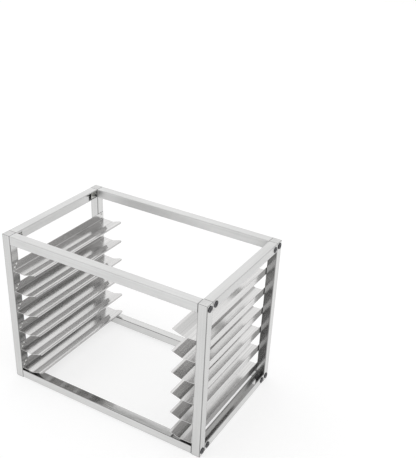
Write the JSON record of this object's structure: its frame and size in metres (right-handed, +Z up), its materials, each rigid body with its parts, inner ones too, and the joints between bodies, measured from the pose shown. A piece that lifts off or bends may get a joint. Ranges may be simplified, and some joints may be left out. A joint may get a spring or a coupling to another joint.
{
  "type": "sheet pan rack",
  "caption": "Open side-load rack: a bolted frame of square steel tube that carries opposed folded runners for sheet pans.",
  "frame": {"origin": "on the floor, at the middle of the rack's footprint", "axes": "+Z up; +X to the right; -Y is the side the pans go in from, so the runners lie along Y"},
  "size_m": [0.7278, 0.461, 0.538],
  "materials": {
    "frame_steel": "fine brushed along each tube",
    "runner_steel": "smooth bright mill finish with a faint grain along the sheet",
    "dark_steel": "blackened bolt steel, satin",
    "plain_steel": "plain zinc-grey steel",
    "grey_nylon": "moulded, matt"
  },
  "bodies": {
    "root": {"post_front_left": "frame_steel", "post_front_right": "frame_steel", "post_back_left": "frame_steel", "post_back_right": "frame_steel", "bottom_rail_front": "frame_steel", "bottom_rail_back": "frame_steel", "bottom_rail_left": "frame_steel", "bottom_rail_right": "frame_steel", "top_rail_front": "frame_steel", "top_rail_back": "frame_steel", "top_rail_left": "frame_steel", "top_rail_right": "frame_steel", "runner_left_1": "runner_steel", "runner_left_2": "runner_steel", "runner_left_3": "runner_steel", "runner_left_4": "runner_steel", "runner_left_5": "runner_steel", "runner_left_6": "runner_steel", "runner_right_1": "runner_steel", "runner_right_2": "runner_steel", "runner_right_3": "runner_steel", "runner_right_4": "runner_steel", "runner_right_5": "runner_steel", "runner_right_6": "runner_steel", "bracket_bottom_front_left": "plain_steel", "nut_plate_bottom_front_left": "plain_steel", "post_bolt_bottom_front_left": "dark_steel", "rail_bolt_bottom_front_left": "dark_steel", "bracket_bottom_front_right": "plain_steel", "nut_plate_bottom_front_right": "plain_steel", "post_bolt_bottom_front_right": "dark_steel", "rail_bolt_bottom_front_right": "dark_steel", "bracket_bottom_back_left": "plain_steel", "nut_plate_bottom_back_left": "plain_steel", "post_bolt_bottom_back_left": "dark_steel", "rail_bolt_bottom_back_left": "dark_steel", "bracket_bottom_back_right": "plain_steel", "nut_plate_bottom_back_right": "plain_steel", "post_bolt_bottom_back_right": "dark_steel", "rail_bolt_bottom_back_right": "dark_steel", "bracket_top_front_left": "plain_steel", "nut_plate_top_front_left": "plain_steel", "post_bolt_top_front_left": "dark_steel", "rail_bolt_top_front_left": "dark_steel", "bracket_top_front_right": "plain_steel", "nut_plate_top_front_right": "plain_steel", "post_bolt_top_front_right": "dark_steel", "rail_bolt_top_front_right": "dark_steel", "bracket_top_back_left": "plain_steel", "nut_plate_top_back_left": "plain_steel", "post_bolt_top_back_left": "dark_steel", "rail_bolt_top_back_left": "dark_steel", "bracket_top_back_right": "plain_steel", "nut_plate_top_back_right": "plain_steel", "post_bolt_top_back_right": "dark_steel", "rail_bolt_top_back_right": "dark_steel", "foot_front_left": "grey_nylon", "foot_front_right": "grey_nylon", "foot_back_left": "grey_nylon", "foot_back_right": "grey_nylon"}
  },
  "joints": []
}
